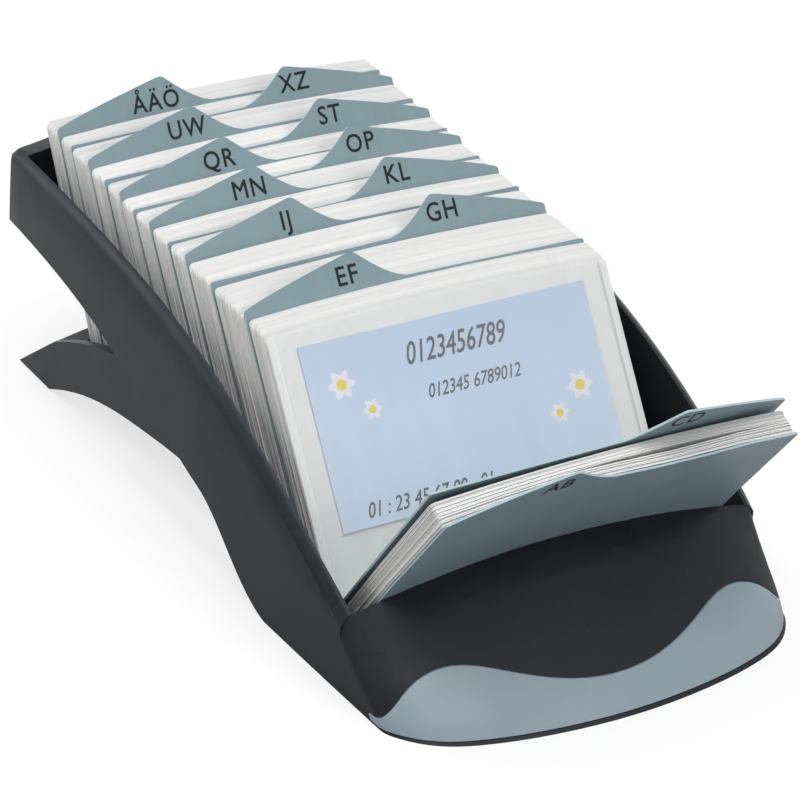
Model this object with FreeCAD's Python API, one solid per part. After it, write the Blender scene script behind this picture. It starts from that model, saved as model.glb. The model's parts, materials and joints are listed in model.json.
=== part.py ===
"""Desk file for business cards: a raised moulded tray whose two rails carry index dividers and
clear card pockets. The leaves lean back, and each one tips forward on the rails.

Frame: +Z up, +X to the user's right, the user sits at -Y. The origin is on the desk, under the
middle of the tray. Millimetres.
"""
import FreeCAD, Part
import math
import os

# Tray as a whole
HALF_LENGTH = 125.5
RIM_HALF_WIDTH = 60.0
BELLY_HALF_WIDTH = 64.6
WALL = 3.0
DESK_GAP = 0.6

# Cheeks seen from the side, as (y, z): rim, lower edge of the band, rear edge of the front block
RIM_POINTS = [(-84.2, 23.1), (-57.2, 38.0), (-35.7, 47.4), (3.2, 59.0), (43.4, 64.6), (89.7, 67.2), (124.0, 67.8)]
BAND_POINTS = [(-13.0, 22.4), (13.1, 30.7), (46.3, 40.6), (82.0, 46.0), (124.0, 47.4)]
BLOCK_REAR = [(-45.0, 0.0), (-37.3, 3.4), (-24.1, 14.8), (-13.0, 22.4)]
REAR_BULGE = 1.6
RIM_CHAMFER = 2.2
RIM_EDGE_ABOVE = 52.0
BAND_EDGE_ABOVE = 20.0
TUB_STATIONS = [(-130.5, -3.6), (-62.0, -0.9), (0.0, 0.0), (70.0, -0.9), (130.5, -3.2)]
TUB_TOP = 80.0
TUB_BELLY_SHARE = 0.42
HIDDEN_POINTS = 6

# Back bar, bowed in plan
BOW_RADIUS = 170.0
BAR_DEPTH = 8.0
REST_HALF_WIDTH = 42.0
REST_FOOT = 9.0
REST_HEIGHT = 47.0
REST_WALL = 2.6

# Crowned apron and nose
APRON_SIDE_Z = 22.8
APRON_CROWN = 4.8
NOSE_SECTIONS = [0.0, 24.0, 42.0, 54.0, 60.0, 65.0]
NOSE_SWEEP = 12.5
NOSE_CORNER = 10.0
NOSE_SKIN = 3.4
NOSE_SIDE_X = 61.5
NOSE_ROUND = 4.5

# Trim set into the nose, seen from the front: its upper edge, as (x, z) from the left to the middle
TRIM_WAVE = [(-63.0, 1.0), (-60.0, 4.0), (-54.0, 9.7), (-41.0, 13.7), (-27.0, 11.4), (-13.0, 8.6), (0.0, 7.7)]
TRIM_SKIN = 3.2
TRIM_LIP = 1.4
TRIM_GAP = 0.3

# Leaves
LEAF_WIDTH = 104.0
POCKET_HEIGHT = 70.6
POCKET_CROWN = 1.5
POCKET_SHEET = 1.16
POCKET_PITCH = 1.4
DIVIDER_HEIGHT = 72.2
DIVIDER_SHEET = 0.6
TAB_HEIGHT = 81.8
TAB_PEAK_X = 17.5
LEAF_CORNER = 2.0
LEAF_GAP = 0.25

# How the leaves stand
STACK_FOOT_FRONT = (-61.7, 11.2)
STACK_FOOT_REAR = (77.0, 14.0)
LEAN_STATIONS = [(0.0, 33.0), (0.25, 31.7), (0.5, 31.3), (1.0, 26.0)]
REAR_PACKS = {
    "cd": 5, "ef": 10, "gh": 7, "ij": 5, "kl": 5, "mn": 5, "op": 4, "qr": 5, "st": 5, "uv": 6, "wx": 4, "yz": 5,
}
GROUP_LEAN = 38.5
GROUP_REAR_LEAN = 37.0
GROUP_FOOT = (-62.65, 10.6)
GROUP_POCKETS = 5

# Rails
RAIL_X = 34.0
RAIL_RADIUS = 1.5
RAIL_OVER_FOOT = 2.1
RAIL_BEND = 12.0
NOTCH_WIDTH = 4.0
NOTCH_HEIGHT = 5.5

# Business card and the pocket that shows it
CARD_WIDTH = 87.6
CARD_HEIGHT = 49.5
CARD_SHEET = 0.3
CARD_BELOW_TOP = 4.3
POCKET_FILM = 0.25
CARD_PLAY = 0.3
CARD_SIDE_PLAY = 0.6

# Base
LEG_OUTER_X = 58.8
LEG_WALL = 3.0
LEG_TOP = [(112.0, 0.6), (93.4, 15.1), (73.3, 24.6), (45.0, 33.0), (12.0, 33.5), (-40.0, 17.5), (-60.0, 10.6)]
LEG_UNDER = [(-58.0, 0.6), (-30.0, 10.0), (-7.1, 18.2), (25.0, 17.8), (60.0, 12.2), (92.0, 0.6)]
REAR_SLOPE = 1.28
REAR_BAR_TOP = 8.6
REAR_BAR_INNER = 154.0
FLOOR_HALF_WIDTH = 42.0
FLOOR_WALL = 2.6
FLOOR_FRONT = -60.0
FLOOR_BEND_Y = 60.0
FLOOR_REAR = 112.0
FLOOR_REAR_Z = 5.2
POST_WIDTH = 12.0
POST_DEPTH = 7.0
POST_HEIGHT = 14.5
POST_FRONT = 79.0
RIB_WIDTH = 2.0
RIB_HEIGHT = 1.6
RIB_FRONT = -40.0
RIB_LENGTH = 120.0
WEB_DEPTH = 14.0
TONGUE_REACH = 5.0
FOOT_WIDTH = 12.0
FOOT_DEPTH = 8.0
FOOT_HEIGHT = 1.4
FOOT_RECESS = 0.8
TONGUE_WIDTH = 16.0
SCREW_RADIUS = 1.6
SCREW_HEAD_RADIUS = 2.8
SCREW_HEAD = 0.9
SCREW_LENGTH = 10.0
BOSS_RADIUS = 4.0

V = FreeCAD.Vector
X_AXIS = V(1, 0, 0)
Z_AXIS = V(0, 0, 1)
ORIGIN = V(0, 0, 0)


def side_point(point, x=0.0):
    return V(x, point[0], point[1])


def spline(points):
    curve = Part.BSplineCurve()
    curve.interpolate(points)
    return curve.toShape()


def arc(start, middle, end):
    return Part.Arc(start, middle, end).toShape()


def line(start, end):
    return Part.makeLine(start, end)


def closed_face(edges):
    return Part.Face(Part.Wire(edges))


def polygon_face(points):
    return Part.Face(Part.makePolygon(points + points[:1]))


def mirrored(shape):
    return shape.mirror(ORIGIN, X_AXIS)


def both_sides(shape):
    return shape.fuse(mirrored(shape))


def clean(shape):
    return shape.removeSplitter()


def tub_section(y, half_rim, half_belly, hidden):
    """One closed XZ section of the tub: flat below, sides bulging between the desk and the rim."""
    low = half_belly - 1.2
    belly_z = TUB_BELLY_SHARE * TUB_TOP
    right = arc(V(half_rim, y, TUB_TOP), V(half_belly, y, belly_z), V(low, y, 0.0))
    if hidden:
        points = right.discretize(HIDDEN_POINTS)
        points += [V(-p.x, p.y, p.z) for p in reversed(points)]
        return Part.makePolygon(points + points[:1])
    bottom = line(V(low, y, 0.0), V(-low, y, 0.0))
    left = arc(V(-low, y, 0.0), V(-half_belly, y, belly_z), V(-half_rim, y, TUB_TOP))
    lid = line(V(-half_rim, y, TUB_TOP), V(half_rim, y, TUB_TOP))
    return Part.Wire([right, bottom, left, lid])


def tub(inset, hidden=False):
    """The barrel shape of the cheeks, drawn in by inset; hidden walls have a few flat facets."""
    sections = [
        tub_section(y, RIM_HALF_WIDTH - 1.0 - inset, BELLY_HALF_WIDTH + widen - inset, hidden)
        for y, widen in TUB_STATIONS
    ]
    return Part.makeLoft(sections, True, hidden)


def bowed_plan(apex_y, half_width, corner):
    """Plan outline, straight in front, with the bow of the back bar and rounded rear corners."""
    shoulder = apex_y - BOW_RADIUS + math.sqrt(BOW_RADIUS**2 - (half_width - corner) ** 2)
    front = -HALF_LENGTH - 10
    diagonal = corner * math.sqrt(0.5)
    corner_y = shoulder - 1.15 * corner
    right = arc(
        V(half_width, corner_y, 0),
        V(half_width - corner + diagonal, corner_y + 1.15 * diagonal, 0),
        V(half_width - corner, shoulder, 0),
    )
    bow = arc(V(half_width - corner, shoulder, 0), V(0, apex_y, 0), V(corner - half_width, shoulder, 0))
    return closed_face(
        [
            line(V(-half_width, front, 0), V(half_width, front, 0)),
            line(V(half_width, front, 0), V(half_width, corner_y, 0)),
            right,
            bow,
            mirrored(right),
            line(V(-half_width, corner_y, 0), V(-half_width, front, 0)),
        ]
    )


def side_prism(edges, half_width):
    face = closed_face(edges)
    face.translate(V(-half_width, 0, 0))
    return face.extrude(V(2 * half_width, 0, 0))


def hoop_profile():
    """Side view of the hoop: arched rim above, lower edge that sweeps down to the front block."""
    rim = spline([side_point(p) for p in RIM_POINTS])
    band = spline([side_point(p) for p in BAND_POINTS])
    block = spline([side_point(p) for p in BLOCK_REAR])
    rear_middle = V(0, RIM_POINTS[-1][0] + REAR_BULGE, 57.0)
    front = RIM_POINTS[0]
    return [
        rim,
        arc(side_point(RIM_POINTS[-1]), rear_middle, side_point(BAND_POINTS[-1])),
        band,
        block,
        line(side_point(BLOCK_REAR[0]), V(0, front[0], 0)),
        line(V(0, front[0], 0), side_point(front)),
    ]


def nose_section(x, inset, hidden):
    """YZ section of the apron and nose at x: slanted rear edge, crowned top, slope to the desk."""
    share = abs(x) / NOSE_SIDE_X
    top = APRON_SIDE_Z + APRON_CROWN * (1 - share**2) - inset
    low = -inset
    rear_foot = apron_plane_y(low) - 1.3 * inset
    toe = NOSE_SWEEP * share**2 + NOSE_CORNER * share**10 - HALF_LENGTH + 1.3 * inset
    ridge = V(x, apron_plane_y(top) - 1.3 * inset, top)
    depth = toe - ridge.y
    rise = top - low
    bulge = 1.0 - 0.12 * share**4
    slope = spline(
        [
            ridge,
            V(x, ridge.y + depth * 0.36, low + rise * 0.70 * bulge),
            V(x, ridge.y + depth * 0.72, low + rise * 0.345 * bulge),
            V(x, toe, low),
        ]
    )
    toe_point = V(x, toe, low)
    foot_point = V(x, rear_foot, low)
    if hidden:
        points = slope.discretize(HIDDEN_POINTS) + [foot_point, ridge]
        return Part.makePolygon(points)
    return Part.Wire([slope, line(toe_point, foot_point), line(foot_point, ridge)])


def apron_plane_y(z):
    """The apron's rear edge lies in one slanted plane, the one that the tipped group leans on."""
    lean = math.tan(math.radians(GROUP_LEAN))
    front_y, front_z = group_front_foot()
    return front_y - (z - front_z) * lean - 0.5


def nose_loft(inset=0.0, hidden=False):
    xs = [-x for x in reversed(NOSE_SECTIONS[1:])] + NOSE_SECTIONS
    return Part.makeLoft([nose_section(x, inset, hidden) for x in xs], True, hidden)


def nose_body():
    """Apron and nose between the cheeks, rounded along both sides."""
    body = nose_loft().common(tub(0.0))
    ridge_y = apron_plane_y(APRON_SIDE_Z)
    sides = [edge for edge in body.Edges if abs(middle(edge).x) > 55 and middle(edge).y < ridge_y - 2]
    sides = [edge for edge in sides if middle(edge).z > 3]
    return body.makeFillet(NOSE_ROUND, sides)


def nose_hollow():
    """Space under the moulded skin of the nose."""
    return nose_loft(NOSE_SKIN, True).common(tub(NOSE_SKIN, True))


def middle(edge):
    return edge.valueAt((edge.FirstParameter + edge.LastParameter) / 2)


def leaf_directions(lean):
    """Unit vectors of a leaf that leans back by lean: up along the leaf, and through it rearwards."""
    angle = math.radians(lean)
    return V(0, math.sin(angle), math.cos(angle)), V(0, math.cos(angle), -math.sin(angle))


def group_depth():
    return 2 * (DIVIDER_SHEET + LEAF_GAP) + GROUP_POCKETS * POCKET_PITCH


def group_front_foot():
    """Lowest front point of the tipped group, seen from the side."""
    through = leaf_directions(-GROUP_LEAN)[1]
    foot = V(0, *GROUP_FOOT) - through * group_depth()
    return foot.y, foot.z


def placed(leaf, foot, lean):
    """Stand a flat leaf, drawn in XZ with its thickness along +Y, on its foot."""
    leaf.rotate(ORIGIN, X_AXIS, -lean)
    leaf.translate(V(0, *foot))
    return leaf


def notched_base():
    """Lower edge of every leaf, right to left, with the two notches that ride on the rails."""
    half = LEAF_WIDTH / 2
    points = [V(half, 0, 0)]
    for rail in (RAIL_X, -RAIL_X):
        inner = rail - NOTCH_WIDTH / 2
        outer = rail + NOTCH_WIDTH / 2
        points += [V(outer, 0, 0), V(outer, 0, NOTCH_HEIGHT), V(inner, 0, NOTCH_HEIGHT), V(inner, 0, 0)]
    points.append(V(-half, 0, 0))
    return Part.makePolygon(points).Edges


def pocket_face():
    """A pocket's outline: notched foot, small cut corners and a slightly crowned top."""
    half = LEAF_WIDTH / 2
    top = POCKET_HEIGHT
    cut = LEAF_CORNER
    points = [V(-half, 0, 0), V(-half, 0, top - cut), V(cut - half, 0, top), V(0, 0, top + POCKET_CROWN)]
    points += [V(half - cut, 0, top), V(half, 0, top - cut), V(half, 0, 0)]
    return closed_face(Part.makePolygon(points).Edges + notched_base())


def divider_face(side):
    """A divider's outline: a sloping tab with a small round peak on one side, a low strip beside it."""
    half = LEAF_WIDTH / 2
    low = DIVIDER_HEIGHT
    peak = TAB_HEIGHT
    shoulder = arc(
        V(-half, 0, low), V(-0.66 * half, 0, low + 0.60 * (peak - low)), V(-TAB_PEAK_X - 2.2, 0, peak - 0.35)
    )
    tip = arc(
        V(-TAB_PEAK_X - 2.2, 0, peak - 0.35), V(-TAB_PEAK_X, 0, peak), V(-TAB_PEAK_X + 2.0, 0, peak - 1.1)
    )
    sweep = arc(V(-TAB_PEAK_X + 2.0, 0, peak - 1.1), V(-10.4, 0, low + 3.0), V(-1.0, 0, low))
    strip = line(V(-1.0, 0, low), V(half, 0, low))
    sides = [line(V(half, 0, low), V(half, 0, 0)), line(V(-half, 0, 0), V(-half, 0, low))]
    face = closed_face([shoulder, tip, sweep, strip, sides[0]] + notched_base() + [sides[1]])
    return face if side == "left" else mirrored(face)


def divider(side, foot, lean):
    return placed(divider_face(side).extrude(V(0, DIVIDER_SHEET, 0)), foot, lean)


def rail_slope():
    run = STACK_FOOT_REAR[0] - STACK_FOOT_FRONT[0]
    return (STACK_FOOT_REAR[1] - STACK_FOOT_FRONT[1]) / run


def pocket_pack(foot, lean, first_depth, count):
    """A pack of pockets whose feet all follow the rails; each pocket is a solid of its own."""
    up, through = leaf_directions(lean)
    rail = V(0, 1, rail_slope()).normalize()
    shear = (rail * (1 / rail.dot(through))).dot(up)
    pockets = []
    for index in range(count):
        depth = first_depth + index * POCKET_PITCH
        start = V(0, *foot) + through * depth + up * (shear * depth)
        leaf = pocket_face().extrude(V(0, POCKET_SHEET, 0))
        pockets.append(placed(leaf, (start.y, start.z), lean))
    return Part.makeCompound(pockets)


def squared_pack():
    """The tipped pack: its feet lie square on the bent rails, and its leaves open slightly upwards."""
    front_foot = V(0, *group_front_foot())
    through = leaf_directions(-GROUP_LEAN)[1]
    pockets = []
    for index in range(GROUP_POCKETS):
        start = front_foot + through * (DIVIDER_SHEET + LEAF_GAP + index * POCKET_PITCH)
        opened = (index + 1) / GROUP_POCKETS
        lean = GROUP_LEAN + (GROUP_REAR_LEAN - GROUP_LEAN) * opened
        leaf = pocket_face().extrude(V(0, POCKET_SHEET, 0))
        pockets.append(placed(leaf, (start.y, start.z), -lean))
    return Part.makeCompound(pockets)


def sleeve_depth():
    return 2 * POCKET_FILM + CARD_SHEET + CARD_PLAY


def pack_depth(name):
    """Depth of a rear pack with the leaf that leads it: a divider, or the sleeve that shows a card."""
    leading = sleeve_depth() if name == "cd" else DIVIDER_SHEET
    return leading + LEAF_GAP + REAR_PACKS[name] * POCKET_PITCH


def rear_lean(share):
    """Lean of a leaf at its share of the way along the rails; the leaves stand up towards the rear."""
    for (start, lean), (end, next_lean) in zip(LEAN_STATIONS, LEAN_STATIONS[1:]):
        if share <= end:
            return lean + (next_lean - lean) * (share - start) / (end - start)
    return LEAN_STATIONS[-1][1]


def rear_stand(name):
    """Foot and lean of one rear pack; the packs share out the rails by their depth."""
    names = list(REAR_PACKS)
    before = sum(pack_depth(other) for other in names[: names.index(name)])
    share = before / sum(pack_depth(other) for other in names)
    foot_y = STACK_FOOT_FRONT[0] + share * (STACK_FOOT_REAR[0] - STACK_FOOT_FRONT[0])
    foot_z = STACK_FOOT_FRONT[1] + share * (STACK_FOOT_REAR[1] - STACK_FOOT_FRONT[1])
    return (foot_y, foot_z), rear_lean(share)


def card_cavity(margin, thickness, y):
    """Flat block the size of the card, or a little larger, at the card's height in its pocket."""
    width = CARD_WIDTH + 2 * margin
    top = POCKET_HEIGHT - CARD_BELOW_TOP
    bottom = top - CARD_HEIGHT - margin
    height = top - bottom if margin == 0 else POCKET_HEIGHT + 5 - bottom
    return Part.makeBox(width, thickness, height, V(-width / 2, y, bottom))


def display_pocket(foot, lean):
    """The front pocket as a real sleeve: two films welded round a space that is open at the top."""
    sleeve = pocket_face().extrude(V(0, sleeve_depth(), 0))
    space = card_cavity(CARD_SIDE_PLAY, CARD_SHEET + CARD_PLAY, POCKET_FILM)
    return placed(sleeve.cut(space), foot, lean)


def card(foot, lean):
    return placed(card_cavity(0.0, CARD_SHEET, POCKET_FILM + CARD_PLAY / 2), foot, lean)


def rail_path(x):
    """Centre line of one rail: a long straight run, a bend, and a short run square to the group."""
    up, through = leaf_directions(-GROUP_LEAN)
    slope = V(0, 1, rail_slope()).normalize()
    start = V(x, *STACK_FOOT_FRONT) + V(0, 0, RAIL_OVER_FOOT)
    rear = start + slope * (STACK_FOOT_REAR[0] - STACK_FOOT_FRONT[0] + 5.0)
    corner = V(x, *GROUP_FOOT) + up * RAIL_OVER_FOOT
    along = (corner - start).dot(slope)
    corner = start + slope * along
    turn = slope.getAngle(through)
    reach = RAIL_BEND * math.tan(turn / 2)
    bend_start = corner + slope * reach
    bend_end = corner - through * reach
    inward = (slope - through).normalize()
    centre_gap = RAIL_BEND / math.cos(turn / 2) - RAIL_BEND
    bend_middle = corner + inward * centre_gap
    front = corner - through * (group_depth() + 3.5)
    return Part.Wire([line(rear, bend_start), arc(bend_start, bend_middle, bend_end), line(bend_end, front)])


def rail(x):
    path = rail_path(x)
    begin = path.Edges[0].firstVertex().Point
    direction = path.Edges[0].tangentAt(path.Edges[0].FirstParameter)
    circle = Part.Wire(Part.makeCircle(RAIL_RADIUS, begin, direction))
    return path.makePipeShell([circle], True, False)


def leg():
    """A leg: an arched strap that drops from behind the cheek to a flat rear foot."""
    top = spline([side_point(p) for p in LEG_TOP[1:]])
    under = spline([side_point(p) for p in LEG_UNDER])
    corners = [side_point(p) for p in (LEG_TOP[-1], LEG_UNDER[0], LEG_UNDER[-1], LEG_TOP[0], LEG_TOP[1])]
    front = line(corners[0], corners[1])
    foot = line(corners[2], corners[3])
    face = closed_face([top, front, under, foot, line(corners[3], corners[4])])
    face.translate(V(LEG_OUTER_X - LEG_WALL, 0, 0))
    return face.extrude(V(LEG_WALL, 0, 0))


def rear_cone():
    """Bowed and sloping rear face that the legs and the cross bar between them share."""
    height = 40.0
    drop = BOW_RADIUS - math.sqrt(BOW_RADIUS**2 - LEG_OUTER_X**2)
    centre = V(0, LEG_TOP[0][0] + drop - BOW_RADIUS, DESK_GAP)
    return Part.makeCone(BOW_RADIUS, BOW_RADIUS - REAR_SLOPE * height, height, centre), centre


def rear_bar():
    """Low cross bar between the rear feet, bowed like the back bar above it."""
    cone, centre = rear_cone()
    bar = cone.cut(Part.makeCylinder(REAR_BAR_INNER, 60.0, centre))
    room = Part.makeBox(2 * LEG_OUTER_X, 100.0, REAR_BAR_TOP - DESK_GAP, V(-LEG_OUTER_X, 60.0, DESK_GAP))
    return bar.common(room)


def floor_face(lift, wall):
    """Side view of the strap under the rails, which climbs with them; lift and wall set its height."""
    low = DESK_GAP + lift
    high = FLOOR_REAR_Z + lift
    points = [(FLOOR_FRONT, low), (-45.0, low), (FLOOR_BEND_Y, high), (FLOOR_REAR, high)]
    upper = [(y, z + wall) for y, z in reversed(points)]
    return polygon_face([side_point(p) for p in points + upper])


def rear_posts():
    """Two posts at the rear of the floor that carry the rails."""
    corners = [V(x - POST_WIDTH / 2, POST_FRONT, FLOOR_REAR_Z + 0.2) for x in (-RAIL_X, RAIL_X)]
    return [Part.makeBox(POST_WIDTH, POST_DEPTH, POST_HEIGHT, corner) for corner in corners]


def floor_rib(x):
    """Low rib under one rail that stiffens the floor."""
    rib = floor_face(FLOOR_WALL - 0.1, RIB_HEIGHT + 0.1).extrude(V(RIB_WIDTH, 0, 0))
    rib.translate(V(x - RIB_WIDTH / 2, 0, 0))
    stretch = Part.makeBox(2 * FLOOR_HALF_WIDTH, RIB_LENGTH, 40.0, V(-FLOOR_HALF_WIDTH, RIB_FRONT, 0))
    return rib.common(stretch)


def base(rails):
    """Lower moulding: two arched legs, the strap between them, the rear bar and the fixing tongues."""
    legs = both_sides(leg()).common(rear_cone()[0])
    width = 2 * FLOOR_HALF_WIDTH
    floor = floor_face(0.0, FLOOR_WALL).extrude(V(width, 0, 0))
    floor.translate(V(-FLOOR_HALF_WIDTH, 0, 0))
    web_half = LEG_OUTER_X - 1.0
    web = Part.makeBox(2 * web_half, WEB_DEPTH, FLOOR_WALL, V(-web_half, FLOOR_FRONT, DESK_GAP))
    shape = legs.fuse([floor.common(rear_cone()[0]), web, rear_bar()] + rear_posts())
    for x, y in screw_places():
        shape = shape.fuse(tongue(x, y, 0.0))
    for x in (-RAIL_X, RAIL_X):
        shape = shape.fuse(floor_rib(x))
    for bar in rails:
        shape = shape.cut(bar)
    for x, y in foot_places():
        corner = V(x - FOOT_WIDTH / 2, y - FOOT_DEPTH / 2, DESK_GAP)
        shape = shape.cut(Part.makeBox(FOOT_WIDTH, FOOT_DEPTH, FOOT_RECESS, corner))
    for x, y in screw_places():
        shape = shape.cut(Part.makeCylinder(SCREW_RADIUS, SCREW_LENGTH + 2.0, V(x, y, 0)))
        shape = shape.cut(Part.makeCylinder(SCREW_HEAD_RADIUS, SCREW_HEAD, V(x, y, DESK_GAP)))
    return clean(shape)


def tongue(x, y, play):
    """Flat tongue of the base that reaches under the apron through a slot, with a screw at its end."""
    front = y - TONGUE_REACH
    half = TONGUE_WIDTH / 2 + play
    return Part.makeBox(2 * half, FLOOR_FRONT + 1.0 - front, FLOOR_WALL + play, V(x - half, front, DESK_GAP))


def foot_places():
    return [(-50.0, -53.0), (50.0, -53.0), (-50.0, 105.5), (50.0, 105.5)]


def screw_places():
    return [(-23.0, -81.0), (23.0, -81.0)]


def feet():
    pads = []
    for x, y in foot_places():
        corner = V(x - FOOT_WIDTH / 2, y - FOOT_DEPTH / 2, 0)
        pads.append(Part.makeBox(FOOT_WIDTH, FOOT_DEPTH, FOOT_HEIGHT, corner))
    return Part.makeCompound(pads)


def wave_line():
    """Upper edge of the trim seen from the front: a dip in the middle, a hump each side."""
    left = [V(x, 0, z) for x, z in TRIM_WAVE]
    right = [V(-p.x, 0, p.z) for p in reversed(left[:-1])]
    return left + right


def under_wave(lift):
    """Everything in front of the tray that lies below the trim's wavy edge, raised by lift."""
    wave = spline([p + V(0, -70, lift) for p in wave_line()])
    ends = [wave.firstVertex().Point, wave.lastVertex().Point]
    floor = -5.0
    face = closed_face(
        [
            wave,
            line(ends[1], V(ends[1].x, -70, floor)),
            line(V(ends[1].x, -70, floor), V(ends[0].x, -70, floor)),
            line(V(ends[0].x, -70, floor), ends[0]),
        ]
    )
    return face.extrude(V(0, -80, 0))


def trim_zone(lift, lip):
    """Skin of the nose that the trim takes: below the wavy edge, above a thin dark lip at the desk."""
    core = nose_loft(0.0, True)
    core.translate(V(0, TRIM_SKIN, -0.4))
    desk_lip = Part.makeBox(200, 200, lip, V(-100, -200, 0))
    return under_wave(lift).cut(core).cut(desk_lip)


def front_trim():
    return clean(nose_body().common(trim_zone(0.0, TRIM_LIP)))


def back_rest():
    """Panel behind the last pocket, at the lean of the rear leaves, hung from the back bar."""
    up, through = leaf_directions(LEAN_STATIONS[-1][1])
    foot = V(0, *STACK_FOOT_REAR) + through * 1.5 + up * REST_FOOT
    top = foot + up * REST_HEIGHT
    rear = through * REST_WALL
    flange = V(0, 14.0, 0)
    points = [foot, top, top + flange, top + flange - V(0, 0, 3.0), top + rear - up * 3.0, foot + rear]
    panel = polygon_face(points).extrude(V(2 * REST_HALF_WIDTH, 0, 0))
    panel.translate(V(-REST_HALF_WIDTH, 0, 0))
    return panel


def cradle(rails):
    """Tray moulding: hoop of two cheeks and a back bar, joined in front by the crowned nose."""
    outer_plan = bowed_plan(HALF_LENGTH, BELLY_HALF_WIDTH, 10.0).extrude(V(0, 0, 90))
    inner_plan = bowed_plan(HALF_LENGTH - BAR_DEPTH, BELLY_HALF_WIDTH, 12.0).extrude(V(0, 0, 90))
    hoop = tub(0.0).common(side_prism(hoop_profile(), 90)).common(outer_plan)
    high = [edge for edge in hoop.Edges if middle(edge).z > RIM_EDGE_ABOVE]
    rim = [edge for edge in high if edge.BoundBox.ZMin > BAND_EDGE_ABOVE]
    shape = hoop.makeChamfer(RIM_CHAMFER, rim).cut(tub(WALL, True).common(inner_plan))
    nose = nose_body().cut(nose_hollow())
    shape = shape.fuse(nose).fuse(back_rest().common(outer_plan))
    shape = shape.cut(trim_zone(TRIM_GAP, TRIM_LIP - TRIM_GAP))
    for x, y in screw_places():
        boss = Part.makeCylinder(BOSS_RADIUS, 40.0, V(x, y, DESK_GAP + FLOOR_WALL))
        shape = shape.fuse(boss.common(nose_body()))
    for x, y in screw_places():
        shape = shape.cut(Part.makeCylinder(SCREW_RADIUS, SCREW_LENGTH + 2.0, V(x, y, 0)))
        shape = shape.cut(tongue(x, y, TRIM_GAP))
    for bar in rails:
        shape = shape.cut(bar)
    return shape


def screws():
    """Pan-head screws that hold the base up into the bosses under the apron."""
    fixings = []
    for x, y in screw_places():
        shank = Part.makeCylinder(SCREW_RADIUS, SCREW_LENGTH, V(x, y, DESK_GAP))
        head = Part.makeCylinder(SCREW_HEAD_RADIUS, SCREW_HEAD, V(x, y, DESK_GAP))
        fixings.append(shank.fuse(head))
    return Part.makeCompound(fixings)


def hinge_line(foot, lean):
    """Point on a leaf's face, level with the rails, that the leaf turns about."""
    return V(0, *foot) + leaf_directions(lean)[0] * RAIL_OVER_FOOT


def front_group():
    """Tipped group: two dividers with a pack of pockets between them, square on the bent rails."""
    foot = group_front_foot()
    rear_foot = V(0, *foot) + leaf_directions(-GROUP_LEAN)[1] * (group_depth() - DIVIDER_SHEET)
    return {
        "divider_ab": divider("left", foot, -GROUP_LEAN),
        "pockets_ab": squared_pack(),
        "divider_cd": divider("right", (rear_foot.y, rear_foot.z), -GROUP_REAR_LEAN),
    }


def rear_stack():
    """Leaning packs; each starts with its divider, and the first with the pocket that shows a card."""
    shapes = {}
    for index, (name, count) in enumerate(REAR_PACKS.items()):
        foot, lean = rear_stand(name)
        if name == "cd":
            shapes["display_pocket"] = display_pocket(foot, lean)
            shapes["business_card"] = card(foot, lean)
            first = sleeve_depth() + LEAF_GAP
        else:
            shapes["divider_" + name] = divider("left" if index % 2 else "right", foot, lean)
            first = DIVIDER_SHEET + LEAF_GAP
        shapes["pockets_" + name] = pocket_pack(foot, lean, first, count)
    return shapes


def main():
    os.makedirs("parts", exist_ok=True)
    rails = {"rail_left": rail(-RAIL_X), "rail_right": rail(RAIL_X)}
    bars = list(rails.values())
    parts = {"cradle": cradle(bars), "front_trim": front_trim(), "base": base(bars)}
    parts.update(rails)
    parts.update({"feet": feet(), "base_screws": screws()})
    parts.update(front_group())
    parts.update(rear_stack())
    for name, shape in parts.items():
        shape.exportStep(os.path.join("parts", name + ".step"))
        print(name, shape.isValid(), len(shape.Solids), round(shape.Volume), "mm3")
    for name in REAR_PACKS:
        foot, lean = rear_stand(name)
        point = hinge_line(foot, lean)
        print("hinge", name, round(point.y, 4), round(point.z, 4), "lean", round(lean, 4))
    print("group foot", group_front_foot(), "depth", group_depth())


main()
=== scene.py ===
"""Looks of the business card file: moulded tray, satin trim, tabbed dividers, film pockets, a card."""
import json
import math
import random

import bmesh
import bpy
from mathutils import Matrix, Vector


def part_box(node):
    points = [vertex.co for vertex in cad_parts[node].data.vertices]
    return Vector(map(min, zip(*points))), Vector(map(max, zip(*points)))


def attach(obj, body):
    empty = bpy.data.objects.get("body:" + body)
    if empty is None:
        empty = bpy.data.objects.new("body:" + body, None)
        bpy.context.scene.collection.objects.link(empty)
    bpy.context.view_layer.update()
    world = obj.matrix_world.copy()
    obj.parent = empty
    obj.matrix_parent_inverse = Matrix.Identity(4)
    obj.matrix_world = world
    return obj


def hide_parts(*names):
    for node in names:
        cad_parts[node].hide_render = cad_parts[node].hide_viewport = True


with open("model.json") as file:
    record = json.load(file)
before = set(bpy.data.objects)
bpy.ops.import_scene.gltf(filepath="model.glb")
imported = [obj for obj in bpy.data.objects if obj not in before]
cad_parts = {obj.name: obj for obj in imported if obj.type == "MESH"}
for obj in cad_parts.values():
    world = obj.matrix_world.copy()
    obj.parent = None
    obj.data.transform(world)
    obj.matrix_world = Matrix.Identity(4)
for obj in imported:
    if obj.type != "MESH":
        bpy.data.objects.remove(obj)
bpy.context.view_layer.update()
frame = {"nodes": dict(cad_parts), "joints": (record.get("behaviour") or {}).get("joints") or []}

MM = 0.001

# The photographer's view: azimuth from straight ahead, elevation above the desk, roll, place, lens
VIEW_AZIMUTH = math.radians(-31.617)
VIEW_ELEVATION = math.radians(28.798)
VIEW_ROLL = math.radians(2.493)
VIEW_PLACE = Vector((-0.44931, -0.73545, 0.50192))
PICTURE_PIXELS = 800
FOCAL_PIXELS = 3600
SENSOR_MM = 36.0

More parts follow.
